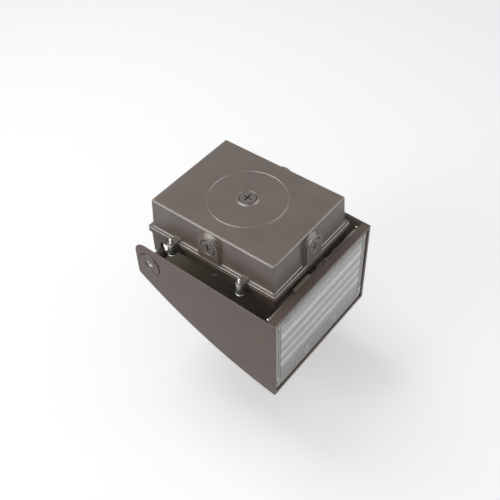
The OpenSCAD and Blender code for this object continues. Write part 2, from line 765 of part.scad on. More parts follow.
module heat_sink() color("#8b8986") difference() {
    union() {
        slab(rim_z, rim_z + sink_t) translate([0, sink_mid]) rounded_rect(sink_w, sink_front - sink_back, plate_r);
        for (i = [0 : fin_count - 1]) let (x = -fin_span / 2 + i * fin_pitch)
            across(x, x + fin_t) fin_plan();
        // Cheeks beside the pocket of the wire gland
        for (sx = [-1, 1]) translate([sx * fin_span / 2 * (1 - cheek_w_share), 0, 0])
            slab(rim_z + fin_foot, rim_z + sink_t + cheek_depth)
                rim_plan(fin_span * cheek_w_share, fin_out, fin_out + cheek_h);
    }
    // Pocket and seat of the wire gland
    translate([gland_x, 0, 0]) slab(rim_z + sink_t, rim_z + sink_t + gland_seat_d) rim_plan(gland_seat_d, fin_out - over, gland_out);
    at_sink_screws() translate([0, 0, rim_z - over]) cylinder(r = small_shank_r + seat_gap, h = sink_t + 2 * over);
    at_board_screws() translate([0, 0, rim_z - over]) cylinder(r = board_screw_r + seat_gap, h = board_screw_l + over);
}

module wire_gland() color(black) translate([gland_x, 0, rim_z + sink_t + gland_seat_d / 2]) {
    gland_h = gland_out - fin_out;
    rod_y(0, 0, gland_seat_d / 2 - seat_gap, gland_out - gland_h / 3, gland_out);
    rod_y(0, 0, gland_seat_d / 3, gland_out - gland_h + seat_gap, gland_out - gland_h / 3);
}

module at_sink_screws() {
    for (sx = [-1, 1], out = [sink_back + sink_edge, sink_front - sink_edge])
        translate([sx * sink_w / 4, -out, 0]) children();
}

module sink_screws() color(steel) at_sink_screws() {
    translate([0, 0, rim_z + sink_t]) cylinder(r = small_head_r, h = small_head_h);
    translate([0, 0, ledge_z + chamfer]) cylinder(r = small_shank_r, h = ledge_t + sink_t - chamfer);
}

// Screws of the LED board, each in the middle between four LEDs
board_screw_r = 1.2;
board_screw_l = 4;
board_head_r = 2.3;
board_cols = 2;
module at_board_screws() {
    for (i = [-board_cols : board_cols], out = [row_out + row_pitch / 2, row_last - row_pitch / 2])
        translate([i * 2 * rib_l / led_count, -out, 0]) children();
}

module board_screws() color(steel) at_board_screws() {
    translate([0, 0, rim_z - board_t - led_h]) cylinder(r = board_head_r, h = led_h);
    translate([0, 0, rim_z - board_t]) cylinder(r = board_screw_r, h = board_t + board_screw_l - chamfer);
}

module led_board() color("#e8e8e2") difference() {
    slab(rim_z - board_t, rim_z) translate([0, (board_back + board_front) / 2])
        rounded_rect(board_w, board_front - board_back, plate_r);
    at_board_screws() translate([0, 0, rim_z - board_t - over]) cylinder(r = board_screw_r + seat_gap, h = board_t + 2 * over);
}

module leds() color("#e3c64a") for (i = [0 : row_count - 1], j = [0 : led_count - 1])
    let (x = (j - (led_count - 1) / 2) * rib_l / led_count, out = row_out + i * row_pitch)
        translate([x - led_size / 2, -out - led_size / 2, rim_z - board_t - led_h]) cube([led_size, led_size, led_h]);

module lens_gasket() color(black) difference() {
    slab(lens_back_z, ledge_z) difference() {
        translate([0, open_mid]) rounded_rect(lens_w, lens_h, lens_r);
        rim_plan(ledge_hole_w, ledge_hole_back, ledge_hole_front);
    }
    at_lens_screws() translate([0, 0, lens_back_z - over]) cylinder(d = lens_screw_d + 2 * seat_gap, h = seal_t + 2 * over);
}

module at_lens_screws() {
    low_x = side_screw_x / 3;
    for (x = [-side_screw_x, -low_x, low_x, side_screw_x])
        translate([x, -(open_front - lens_screw_in), 0]) children();
    for (sx = [-1, 1]) translate([sx * (side_screw_x - back_screw_shift), -(open_back + back_screw_in), 0]) children();
}

module lens() color(clear, 0.5) difference() {
    union() {
        slab(lens_front_z, lens_back_z) translate([0, open_mid]) rounded_rect(lens_w, lens_h, lens_r);
        // Ribs, each a flat slice of a round bar with round ends
        for (i = [0 : row_count - 1]) translate([0, -(row_out + i * row_pitch), lens_front_z]) intersection() {
            union() {
                translate([-rib_l / 2 + rib_w / 2, 0, rib_r - rib_rise]) rotate([0, 90, 0]) cylinder(r = rib_r, h = rib_l - rib_w, $fn = 96);
                for (sx = [-1, 1]) translate([sx * (rib_l / 2 - rib_w / 2), 0, rib_r - rib_rise]) sphere(r = rib_r, $fn = 96);
            }
            translate([-rib_l / 2, -rib_w / 2, -2 * rib_rise]) cube([rib_l, rib_w, 2 * rib_rise + lens_t / 2]);
        }
    }
    // Groove round the field of ribs
    slab(lens_front_z - over, lens_front_z + groove_depth) difference() {
        translate([0, (row_out + row_last) / 2]) rounded_rect(rib_l + 2 * groove_w, row_last - row_out + rib_w + 2 * groove_w, plate_r);
        translate([0, (row_out + row_last) / 2]) square([rib_l, row_last - row_out + rib_w], center = true);
    }
    at_lens_screws() {
        translate([0, 0, lens_front_z - over]) cylinder(d = lens_screw_d + 2 * seat_gap, h = lens_t + 2 * over);
    }
}

module lens_screws() color(steel) at_lens_screws() {
    translate([0, 0, lens_front_z - small_head_h / 2]) cylinder(r = small_head_r, h = small_head_h / 2);
    translate([0, 0, lens_front_z]) cylinder(d = lens_screw_d, h = rim_z - lens_front_z - chamfer);
}

back_box();
plug_back();
plug_left();
plug_right();
plug_bottom();
plug_seals();
box_gasket();
box_cover();
cover_screws();
led_driver();
driver_screws();
terminal_block();
terminal_screws();
ground_screw();
lead_bush();
pivot_bolts();
pivot_washers();
head_housing();
pivot_discs();
heat_sink();
sink_screws();
wire_gland();
rim_screws();
led_board();
board_screws();
leds();
lens_gasket();
lens();
lens_screws();
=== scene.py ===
# Looks of the adjustable wall pack light, built over its CAD frame.
# Row frame: +X to the right of someone facing the light, +Y into the wall, +Z up.
# Materials, lamps and meshes are in metres. Pieces are drawn in millimetres, and "out" is a distance
# from the wall face.
import math

import bmesh
import bpy
import numpy as np
from mathutils import Matrix


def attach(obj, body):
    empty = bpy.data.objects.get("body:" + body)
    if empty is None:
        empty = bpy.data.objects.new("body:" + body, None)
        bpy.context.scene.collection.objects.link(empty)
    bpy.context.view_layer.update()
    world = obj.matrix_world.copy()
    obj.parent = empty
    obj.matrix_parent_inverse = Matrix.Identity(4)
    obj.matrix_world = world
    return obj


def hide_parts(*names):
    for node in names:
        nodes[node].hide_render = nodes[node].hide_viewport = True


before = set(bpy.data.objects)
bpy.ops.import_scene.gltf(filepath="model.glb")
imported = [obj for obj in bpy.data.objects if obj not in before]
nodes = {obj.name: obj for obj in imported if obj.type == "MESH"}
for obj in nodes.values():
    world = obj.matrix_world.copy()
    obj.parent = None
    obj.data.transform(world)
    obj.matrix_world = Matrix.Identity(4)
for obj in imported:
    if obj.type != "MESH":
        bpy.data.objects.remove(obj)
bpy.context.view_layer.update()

MM = 0.001

# Places in millimetres.
COVER_SCREW_X, COVER_SCREW_Z = 87.3, 54.5
SCREW_TIP_OUT, LUG_FACE_OUT = 33.3, 58.5
SLEEVE_OUT = 41.2
PLUG_OUT = 21.5
PIVOT_OUT, PIVOT_UP = 84.0, 82.5
LENS_SCREWS = [(94.85, 182.5), (31.6, 182.5), (91.85, 70.5)]  # |X| and out
FRAME_SCREW_X, FRAME_SCREW_OUT = 95.41, 66.7
RIB_COUNT, RIB_PITCH, FIRST_RIB_OUT = 5, 17.8, 89.7
GROOVE_OUT = FIRST_RIB_OUT + RIB_PITCH / 2


def linear(hex_text):
    """sRGB hex colour to linear light: c / 12.92 up to 0.04045, else ((c + 0.055) / 1.055) ^ 2.4."""
    c = np.array([int(hex_text[i : i + 2], 16) for i in (1, 3, 5)]) / 255.0
    c = np.where(c <= 0.04045, c / 12.92, ((c + 0.055) / 1.055) ** 2.4)
    return (float(c[0]), float(c[1]), float(c[2]), 1.0)


def new_material(name):
    """An empty node material."""
    mat = bpy.data.materials.new(name)
    mat.use_nodes = True
    mat.node_tree.nodes.clear()
    return mat, mat.node_tree


def put(tree, kind, settings=None, **more):
    """Adds a shader node. Settings are its attributes and its inputs, by name or number. An input takes
    a value, an output, or a node, which stands for its first output. The stops of a colour ramp are
    pairs of a position and a colour or grey level."""
    node = tree.nodes.new("ShaderNode" + kind)
    given = {**(settings or {}), **more}
    own = [key for key in given if isinstance(key, str) and hasattr(node, key)]
    for key in own:
        setattr(node, key, given.pop(key))
    elements = node.color_ramp.elements if "stops" in given else []
    pairs = given.pop("stops", [])
    while len(elements) < len(pairs):
        elements.new(0.5)
    for element, (position, colour) in zip(elements, pairs):
        element.position = position
        element.color = colour if isinstance(colour, tuple) else (colour, colour, colour, 1.0)
    for key, value in given.items():
        socket = node.inputs[key if isinstance(key, int) else key.replace("_", " ")]
        if isinstance(value, bpy.types.Node):
            value = value.outputs[0]
        if isinstance(value, bpy.types.NodeSocket):
            tree.links.new(value, socket)
        else:
            socket.default_value = value
    return node


def wall_face_edge(tree, at, elsewhere, there):
    """A number that is larger on the long edges round the wall face (within 6 mm of the wall and
    outside the ring) than elsewhere."""
    place = put(tree, "SeparateXYZ", Vector=at).outputs
    wide = put(tree, "Math", {0: place["X"]}, operation="ABSOLUTE")
    high = put(tree, "Math", {0: place["Z"]}, operation="ABSOLUTE")
    beside = put(tree, "MapRange", {0: wide, 1: 0.058, 2: 0.060})
    above = put(tree, "MapRange", {0: high, 1: 0.078, 2: 0.080})
    outside = put(tree, "Math", {0: beside, 1: above}, operation="MAXIMUM")
    wall = put(tree, "MapRange", {0: place["Y"], 1: -0.007, 2: -0.005})
    share = put(tree, "Math", {0: wall, 1: outside}, operation="MULTIPLY")
    return put(tree, "MapRange", {0: share, 3: elsewhere, 4: there})


def inner_face(tree, at):
    """1 on the inner faces of the lamp head: between the side plates (|X| below 102.4 mm), behind the
    lens frame (Z above -106.5 mm), and not facing away from the wall."""
    place = put(tree, "SeparateXYZ", Vector=at).outputs
    facing = put(tree, "SeparateXYZ", Vector=put(tree, "TexCoord").outputs["Normal"]).outputs
    wide = put(tree, "Math", {0: place["X"]}, operation="ABSOLUTE")
    between = put(tree, "MapRange", {0: wide, 1: 0.1025, 2: 0.1023})
    behind = put(tree, "MapRange", {0: place["Z"], 1: -0.1068, 2: -0.1062})
    inward = put(tree, "MapRange", {0: facing["Y"], 1: -0.25, 2: -0.2})
    both = put(tree, "Math", {0: between, 1: behind}, operation="MULTIPLY")
    return put(tree, "Math", {0: both, 1: inward}, operation="MULTIPLY")


def painted_shade_places(tree, at, tubes):
    """1 where shade is painted: in the narrow gaps round turned parts and down in the slots of the plugs.
    Each place is a tube:
    its axis, a point on the axis, its inner and outer radius, and its reach along the axis from the
    middle of the light, on both sides, all in millimetres. Its limits fade over 0.4 and 0.2 mm."""
    place = put(tree, "SeparateXYZ", Vector=at).outputs
    total = 0.0
    for axis, centre, inner, outer, low, high in tubes:
        flat = put(tree, "CombineXYZ", {name: place[name] for name in "XYZ" if name != axis})
        middle = tuple(MM * c for c in centre)
        radius = put(tree, "VectorMath", {0: flat, 1: middle}, operation="DISTANCE").outputs["Value"]
        along = put(tree, "Math", {0: place[axis]}, operation="ABSOLUTE")
        part = 1.0
        for value, start, end in [
            (radius, inner - 0.2, inner + 0.2), (radius, outer + 0.2, outer - 0.2),
            (along, low - 0.1, low + 0.1), (along, high + 0.1, high - 0.1),
        ]:
            limit = put(tree, "MapRange", {0: value, 1: MM * start, 2: MM * end})
            part = put(tree, "Math", {0: part, 1: limit}, operation="MULTIPLY")
        total = put(tree, "Math", {0: total, 1: part}, operation="MAXIMUM")
    return total


# Painted shade in the narrow gaps round the pivot discs, then in the gaps round the conduit plugs in
# the wall face, the two sides and the bottom, and down in the plug slots. A tube from a radius below zero
# is a full rod.
SOLID = -1.0
DISC_GAP_SHADE = [("X", (0, -PIVOT_OUT, PIVOT_UP), 16.4, 17.6, 103.0, 110.0)]
PLUG_GAP_SHADE = [
    ("Y", (0, 0, 0), 10.2, 11.4, -1.0, 3.0),
    ("X", (0, -PLUG_OUT, 0), 10.2, 11.4, 76.0, 85.0),
    ("Z", (0, -PLUG_OUT, 0), 10.2, 11.4, 97.0, 105.0),
]
PLUG_SLOT_SHADE = [
    ("Y", (0, 0, 0), SOLID, 8.0, -1.0, 1.3),
    ("X", (0, -PLUG_OUT, 0), SOLID, 8.0, 70.0, 79.3),
    ("Z", (0, -PLUG_OUT, 0), SOLID, 8.0, 92.0, 100.8),
]


def powder_coat(name, shade, light, edge, painted_edge_highlight=0.5, wall_edge=None, ior=1.55, painted_fill_inside=None, joints=None):
    """Polyester powder coat on die-cast aluminium: a satin, slightly pebbled skin.
    Grain about 0.8 mm (coarser than the real 0.2 mm so that it shows), faint cloudiness over 35 mm,
    and edges rounded by the coat, in millimetres, so that they catch the light, with a pale painted
    highlight along them. The lamp head is painted a lighter olive on its inner faces, as painted fill
    light in its shaded cavity, and painted shade darkens the narrow gaps round turned parts and, where
    given, the slots of the plugs."""
    mat, tree = new_material(name)
    at = put(tree, "TexCoord").outputs["Object"]
    cloud = put(tree, "TexNoise", {"Scale": 28.0, "Detail": 3.0, "Roughness": 0.55}, Vector=at)
    grain = put(tree, "TexNoise", {"Scale": 1250.0, "Detail": 2.0, "Roughness": 0.6}, Vector=at)
    colour = put(tree, "ValToRGB", stops=[(0.35, linear(shade)), (0.65, linear(light))], Fac=cloud)
    reach = wall_face_edge(tree, at, edge * MM, wall_edge * MM) if wall_edge else edge * MM
    rounded = put(tree, "Bevel", samples=6, Radius=reach)
    flat = put(tree, "NewGeometry").outputs["Normal"]
    turn = put(tree, "VectorMath", {0: rounded, 1: flat}, operation="DOT_PRODUCT").outputs["Value"]
    # Painted highlight: a pale colour along edges, where the rounded normal turns away from the flat one.
    layers = [("#b4aaa0", put(tree, "MapRange", {0: turn, 1: 0.985, 2: 0.88, 4: painted_edge_highlight}))]
    # Painted fill light: a lighter olive on the inner faces of the lamp head, which lie in shade.
    if painted_fill_inside:
        layers.append((painted_fill_inside, inner_face(tree, at)))
    # Painted shade in the narrow gaps round turned parts and down in the plug slots.
    if joints:
        layers.append(("#2b2421", painted_shade_places(tree, at, joints)))
    for other, share in layers:
        mixed = put(tree, "Mix", {0: share, 6: colour, 7: linear(other)}, data_type="RGBA")
        colour = mixed.outputs[2]
    rough = put(tree, "MapRange", {0: grain, 3: 0.27, 4: 0.35})
    bump = put(tree, "Bump", Strength=0.10, Distance=0.2 * MM, Height=grain, Normal=rounded)
    skin = put(tree, "BsdfPrincipled", IOR=ior, Base_Color=colour, Roughness=rough, Normal=bump)
    put(tree, "OutputMaterial", Surface=skin)
    return mat


def turned_steel(name, shade, light, rough=0.28):
    """Stainless steel fasteners, cold formed: bright, with fine tool marks of about 0.5 mm."""
    mat, tree = new_material(name)
    at = put(tree, "TexCoord").outputs["Object"]
    marks = put(tree, "TexNoise", {"Scale": 900.0, "Detail": 3.0}, Vector=at)
    colour = put(tree, "ValToRGB", stops=[(0.0, linear(shade)), (1.0, linear(light))], Fac=marks)
    roughness = put(tree, "MapRange", {0: marks, 3: rough - 0.06, 4: rough + 0.08})
    rounded = put(tree, "Bevel", samples=4, Radius=0.4 * MM)
    metal = put(
        tree, "BsdfPrincipled", Metallic=1.0, Base_Color=colour, Roughness=roughness, Normal=rounded
    )
    put(tree, "OutputMaterial", Surface=metal)
    return mat


def moulded(name, shade, light, rough, grain_mm=1.0):
    """Moulded rubber or plastic (IOR 1.47): one colour with faint mottling at the given grain."""
    mat, tree = new_material(name)
    at = put(tree, "TexCoord").outputs["Object"]
    mottle = put(tree, "TexNoise", {"Scale": 1000.0 / grain_mm, "Detail": 2.0}, Vector=at)
    colour = put(tree, "ValToRGB", stops=[(0.0, linear(shade)), (1.0, linear(light))], Fac=mottle)
    bump = put(tree, "Bump", Strength=0.15, Distance=0.1 * MM, Height=mottle)
    body = put(tree, "BsdfPrincipled", IOR=1.47, Roughness=rough, Base_Color=colour, Normal=bump)
    put(tree, "OutputMaterial", Surface=body)
    return mat


def clear_lens(name):
    """Injection-moulded polycarbonate (IOR 1.585). The rib field is frosted and painted grey-white, partly
    the frost's own whiteness and partly painted light, with painted highlight and shade making it lighter
    in the grooves between the ribs, 17.8 mm apart, than on their crests; the plain border round it stays
    clear and shows the dark ledge behind. The frost has a grain of about 1.5 mm."""
    mat, tree = new_material(name)
    at = put(tree, "TexCoord").outputs["Object"]
    place = put(tree, "SeparateXYZ", Vector=at).outputs
    y = place["Y"]
    across = put(tree, "Math", {0: place["X"]}, operation="ABSOLUTE")
    beside = put(tree, "MapRange", {0: across, 1: 0.0915, 2: 0.0885})
    far = put(tree, "MapRange", {0: y, 1: -0.177, 2: -0.173})
    field = put(tree, "Math", {0: far, 1: beside}, operation="MULTIPLY")

    # 1 in the grooves, 0 on the crests: half a cosine wave of the rib pitch.
    shifted = put(tree, "Math", {0: y, 1: GROOVE_OUT * MM}, operation="ADD")
    phase = put(tree, "Math", {0: shifted, 1: 2 * math.pi / (RIB_PITCH * MM)}, operation="MULTIPLY")
    wave = put(tree, "Math", {0: phase}, operation="COSINE")
    groove = put(tree, "MapRange", {0: wave, 1: -1.0, 2: 1.0})

    # How much painted light the grooves, the whole rib field and the first rib get, partly the frost's own
    # whiteness, the grooves painted lighter than the crests as painted highlight and shade: each rises
    # between two distances out and falls between two more, to the share that is left past them.
    lit = 0.0
    for part, weight, rise_from, rise_to, fall_from, fall_to, left in [
        (groove, 0.44, 88, 94, 157, 162, 0.25),
        (1.0, 0.25, 75, 82, 158, 164, 0.0),
        (1.0, 0.17, 75, 83, 96, 103, 0.0),
    ]:
        rise = put(tree, "MapRange", {0: y, 1: -MM * rise_from, 2: -MM * rise_to})
        fall = put(tree, "MapRange", {0: y, 1: -MM * fall_to, 2: -MM * fall_from, 3: left})
        window = put(tree, "Math", {0: rise, 1: fall}, operation="MULTIPLY")
        share = put(tree, "Math", {0: part, 1: window}, operation="MULTIPLY")
        lit = put(tree, "Math", {0: share, 1: weight, 2: lit}, operation="MULTIPLY_ADD")
    lit = put(tree, "Math", {0: lit, 1: field}, operation="MULTIPLY")
    frosted = put(tree, "MapRange", {0: lit, 3: 0.34, 4: 0.06})
    clear = put(tree, "Mix", data_type="FLOAT", Factor=field, A=0.3, B=frosted)
    frost = put(tree, "TexNoise", {"Scale": 560.0, "Detail": 3.0}, Vector=at)
    roughness = put(tree, "MapRange", {0: frost, 3: 0.16, 4: 0.3})
    grain = put(tree, "MapRange", {0: frost, 1: 0.3, 2: 0.7, 3: -0.22, 4: 0.22})

    # Painted highlights and painted shade, as bright and dark lines drawn by ramps whose level at rest
    # changes nothing: along the bead beside the ribs, from 85 to 100 mm out from the middle; painted shade
    # in a pocket and a painted highlight on a lip round each screw, by the distance to the nearest; and
    # painted highlight lines along the lens's edge next to the wall and its far border.
    rest = 0.3
    flat = put(tree, "CombineXYZ", X=across, Y=y)
    nearest = 1.0
    for x, out in LENS_SCREWS:
        distance = put(tree, "VectorMath", {0: flat, 1: (MM * x, -MM * out, 0.0)}, operation="DISTANCE")
        nearest = put(tree, "Math", {0: nearest, 1: distance.outputs["Value"]}, operation="MINIMUM")
    grain_and_painted_light = put(tree, "Math", {0: lit, 1: grain}, operation="ADD")
    for measure, start, end, weight, levels in [
        (across, 0.085, 0.1, 1.6, [
            (0.22, rest), (0.30, 0.0), (0.37, 0.0), (0.46, 0.75), (0.54, rest), (0.74, 0.22), (0.82, 1.0),
            (0.92, 0.7),
        ]),
        (nearest, 0.0, 0.008, 1.6, [(0.50, 0.0), (0.56, 1.0), (0.66, 1.0), (0.75, rest)]),
        (y, -0.06, -0.2, 1.0, [
            (0.030, rest), (0.040, 0.9), (0.052, rest), (0.815, rest), (0.829, 0.55), (0.843, rest),
        ]),
    ]:
        reach = put(tree, "MapRange", {0: measure, 1: start, 2: end})
        line = put(tree, "ValToRGB", stops=levels, Fac=reach)
        change = put(tree, "Math", {0: line, 1: rest}, operation="SUBTRACT")
        grain_and_painted_light = put(tree, "Math", {0: change, 1: weight, 2: grain_and_painted_light}, operation="MULTIPLY_ADD")
    # The lens colour follows its grain and the painted light and painted shade above.
    shades = [(0.0, linear("#4c4f4d")), (0.25, linear("#979996")), (1.0, linear("#f6f6f3"))]
    painted_light_tint = put(tree, "ValToRGB", stops=shades, Fac=put(tree, "MapRange", {0: grain_and_painted_light, 1: -0.33, 2: 1.0}))
    bump = put(tree, "Bump", Strength=0.25, Distance=0.3 * MM, Height=frost)
    body = put(
        tree, "BsdfPrincipled", IOR=1.585, Base_Color=painted_light_tint, Transmission_Weight=clear,
        Roughness=roughness, Normal=bump,
    )
    put(tree, "OutputMaterial", Surface=body)
    return mat


# Finishes. The bronze is a warm taupe, a little redder on the lamp head than on the box.
box_coat = powder_coat(
    "dark_bronze_powder_coat_box", "#5a4f48", "#62574f", 0.7, wall_edge=3.6, joints=PLUG_GAP_SHADE
)
cover_coat = powder_coat("dark_bronze_powder_coat_cover", "#4e433b", "#554a42", 0.7, ior=1.4)
plug_coat = powder_coat(
    "dark_bronze_powder_coat_plugs", "#5b5049", "#635850", 0.3, painted_edge_highlight=0.2,
    joints=PLUG_GAP_SHADE + PLUG_SLOT_SHADE,
)
# The lighter olive on the head's inner faces is painted fill light.
head_coat = powder_coat(
    "dark_bronze_powder_coat_head", "#53433c", "#594941", 0.7, painted_edge_highlight=0.25, ior=1.42,
    painted_fill_inside="#857d70", joints=DISC_GAP_SHADE,
)
# The heat sink's coat is painted much lighter than the bronze, as painted fill light in the shaded head.
sink_coat = powder_coat("heat_sink_coat_painted_lighter", "#8a8176", "#968d82", 0.6)
bright_steel = turned_steel("stainless_fasteners", "#b9b8b4", "#d8d7d4")
dark_steel = turned_steel("dull_stainless_small_screws", "#6a6967", "#868583", 0.35)
zinc_plate = turned_steel("zinc_plated_sleeves", "#8f8f8b", "#a9a9a5", 0.34)
silicone = moulded("black_silicone_rubber", "#1a1a1a", "#242424", 0.6)
case_metal = turned_steel("zinc_plated_driver_case", "#a9aaa8", "#c6c7c4", 0.4)
cream_plastic = moulded("cream_nylon_terminals", "#d8d2c0", "#e6e0cf", 0.45)
green_screw = moulded("green_passivated_ground_screw", "#2f6d3a", "#3e7f49", 0.35)
board_mask = moulded("white_solder_mask", "#dadbd6", "#e8e9e4", 0.3, 0.6)
phosphor = moulded("yellow_led_phosphor", "#d9b94a", "#e8cb62", 0.5, 0.5)
lens_plastic = clear_lens("clear_polycarbonate_lens")

PLUGS = ("plug_back", "plug_left", "plug_right", "plug_bottom")
for finish, node_names in [
    (box_coat, ("back_box",)),
    (cover_coat, ("box_cover",)),
    (plug_coat, PLUGS),
    (head_coat, ("head_housing", "pivot_discs")),
    (sink_coat, ("heat_sink",)),
    (silicone, ("plug_seals", "box_gasket", "lead_bush", "wire_gland", "lens_gasket")),
    (bright_steel, ("cover_screws", "driver_screws", "terminal_screws", "pivot_washers", "rim_screws",
                    "board_screws")),
    (dark_steel, ("sink_screws", "lens_screws")),
    (zinc_plate, ("pivot_bolts",)),
    (case_metal, ("led_driver",)),
    (cream_plastic, ("terminal_block",)),
    (green_screw, ("ground_screw",)),
    (board_mask, ("led_board",)),
    (phosphor, ("leds",)),
    (lens_plastic, ("lens",)),
]:
    for node_name in node_names:
        mesh = nodes[node_name].data
        mesh.materials.clear()
        mesh.materials.append(finish)


def mesh_from_arrays(name, points, quads):
    """One closed mesh from points (n, 3) in millimetres and corner numbers (m, 4).
    Points that coincide at poles are merged, and the faces are then turned outwards."""
    mesh = bpy.data.meshes.new(name)
    mesh.vertices.add(len(points))
    mesh.vertices.foreach_set("co", (np.asarray(points, dtype=np.float32) * MM).ravel())
    mesh.loops.add(4 * len(quads))
    mesh.loops.foreach_set("vertex_index", np.asarray(quads, dtype=np.int32).ravel())
    mesh.polygons.add(len(quads))
    mesh.polygons.foreach_set("loop_start", np.arange(0, 4 * len(quads), 4, dtype=np.int32))
    mesh.polygons.foreach_set("loop_total", np.full(len(quads), 4, dtype=np.int32))
    mesh.update()
    work = bmesh.new()
    work.from_mesh(mesh)
    bmesh.ops.remove_doubles(work, verts=work.verts, dist=1e-6)
    bmesh.ops.recalc_face_normals(work, faces=work.faces)
    work.to_mesh(mesh)
    work.free()
    obj = bpy.data.objects.new(name, mesh)
    bpy.context.collection.objects.link(obj)
    return obj


def grid_quads(rows, cols, wrap=False):
    """Corner numbers of a grid stored row by row; wrap joins the last column to the first."""
    i, j = np.meshgrid(np.arange(rows - 1), np.arange(cols if wrap else cols - 1), indexing="ij")
    k = (j + 1) % cols
    corners = [i * cols + j, i * cols + k, (i + 1) * cols + k, (i + 1) * cols + j]
    return np.stack(corners, axis=-1).reshape(-1, 4)


def smooth(obj):
    """Smooth faces, keeping edges sharper than 35 degrees."""
    obj.data.polygons.foreach_set("use_smooth", np.ones(len(obj.data.polygons), dtype=bool))
    obj.data.set_sharp_from_angle(angle=math.radians(35.0))
    return obj


def turned(radius, height, turns):
    """Points and faces of a turned body: (r cos a, r sin a, h) for each profile point and angle a.
    The radius may also be a grid, one row per height, for threads and flutes."""
    a = np.linspace(0, 2 * math.pi, turns, endpoint=False)[None, :]
    r = np.asarray(radius, dtype=float)
    r = r[:, None] * np.ones_like(a) if r.ndim == 1 else r
    h = np.asarray(height, dtype=float)[:, None] * np.ones_like(a)
    points = np.stack([r * np.cos(a), r * np.sin(a), h], axis=-1).reshape(-1, 3)
    return points, grid_quads(len(h), turns, wrap=True)


def many(points, quads, seats):
    """The same body at several seats: each is a turn, a 3 x 3 matrix, and a place in millimetres."""
    sets = [points @ turn.T + np.asarray(place, dtype=float) for turn, place in seats]
    faces = [quads + k * len(points) for k in range(len(seats))]
    return np.concatenate(sets), np.concatenate(faces)


# A body drawn along +Z, turned so that +Z points out of the wall (-Y), and so on.
OUT_OF_WALL = np.array([[1.0, 0.0, 0.0], [0.0, 0.0, -1.0], [0.0, 1.0, 0.0]])
INTO_WALL = np.array([[1.0, 0.0, 0.0], [0.0, 0.0, 1.0], [0.0, -1.0, 0.0]])
UP = np.eye(3)
DOWN = np.array([[1.0, 0.0, 0.0], [0.0, -1.0, 0.0], [0.0, 0.0, -1.0]])
TO_LEFT = np.array([[0.0, 0.0, -1.0], [0.0, 1.0, 0.0], [1.0, 0.0, 0.0]])
TO_RIGHT = np.array([[0.0, 0.0, 1.0], [0.0, 1.0, 0.0], [-1.0, 0.0, 0.0]])


def cross_recess(points, face, length, width, depth):
    """Sinks a cross of two bars into the upper face of a turned body: the depth times the larger of
    two bars, each clip((w/2 - |y|)/s + 1/2) clip((l/2 - |x|)/s + 1/2), with walls s = 0.3 mm thick."""
    x, y = np.abs(points[:, 0]), np.abs(points[:, 1])
    wall = 0.3

    def bar(along, beside):
        end = np.clip((length / 2 - along) / wall + 0.5, 0, 1)
        return end * np.clip((width / 2 - beside) / wall + 0.5, 0, 1)

    points[:, 2] -= np.where(face, depth * np.maximum(bar(x, y), bar(y, x)), 0.0)


def conduit_plug_set():
    """Four threaded conduit plugs: a disc of 10.7 mm radius and 9 mm length with a rounded edge of
    0.6 mm, z = -0.6 (1 - sin t), r = 10.1 + 0.6 cos t, and a face that sinks to its cross."""
    radius, length, edge, turns = 10.7, 9.0, 0.6, 144
    t = np.linspace(0, math.pi / 2, 5)
    side_r = np.concatenate([[0.0, radius], radius - edge + edge * np.cos(t)])
    side_h = np.concatenate([[-length, -length], -edge * (1 - np.sin(t))])
    face_r = np.linspace(radius - edge, 0, 40)[1:]
    profile_r = np.concatenate([side_r, face_r])
    points, quads = turned(profile_r, np.concatenate([side_h, 0 * face_r]), turns)
    cross_recess(points, np.arange(len(points)) >= turns * len(side_r), 12.4, 1.6, 3.0)
    seats = [
        (INTO_WALL, (0, 1.78, 0)),
        (TO_LEFT, (-79.9, -PLUG_OUT, 0)),
        (TO_RIGHT, (79.9, -PLUG_OUT, 0)),
        (DOWN, (0, -PLUG_OUT, -101.4)),
    ]
    return mesh_from_arrays("slotted_conduit_plugs", *many(points, quads, seats))


def small_screw(shank_r, shank_len, head_r, skirt, head_h, cross=0.0):
    """A screw along +Z whose head is a skirt and a dome, z = skirt + (h - skirt) sin t, r = R cos t."""
    turns = 36
    t = np.linspace(0, math.pi / 2, 16)[1:]
    stem_r = [0.0, shank_r, shank_r, head_r, head_r]
    stem_h = [-shank_len, -shank_len, 0.0, 0.0, skirt]
    dome_h = skirt + (head_h - skirt) * np.sin(t)
    r, h = np.concatenate([stem_r, head_r * np.cos(t)]), np.concatenate([stem_h, dome_h])
    points, quads = turned(r, h, turns)
    if cross:
        cross_recess(points, np.arange(len(points)) >= turns * len(stem_r), cross, 0.8, 0.9)
    return points, quads


def frame_screw_set():
    """Two dome-headed screws in the corners of the lens frame, heads towards the back box."""
    points, quads = small_screw(1.2, 6.2, 2.35, 0.7, 2.0)
    seats = [(UP, (sx * FRAME_SCREW_X, -FRAME_SCREW_OUT, -103.1)) for sx in (-1, 1)]
    return mesh_from_arrays("dome_frame_screws", *many(points, quads, seats))


def lens_screw_set():
    """Six pan-headed screws with a cross recess that hold the lens."""
    points, quads = small_screw(1.4, 7.1, 2.7, 1.3, 2.5, 3.2)
    seats = [(DOWN, (sx * x, -out, -115.5)) for x, out in LENS_SCREWS for sx in (-1, 1)]
    return mesh_from_arrays("cross_lens_screws", *many(points, quads, seats))


def at_cover_screws(out):
    """The seats of what stands round the four cover screws, from a distance out."""
    corners = [(sx, sz) for sx in (-1, 1) for sz in (-1, 1)]
    return [(OUT_OF_WALL, (sx * COVER_SCREW_X, -out, sz * COVER_SCREW_Z)) for sx, sz in corners]


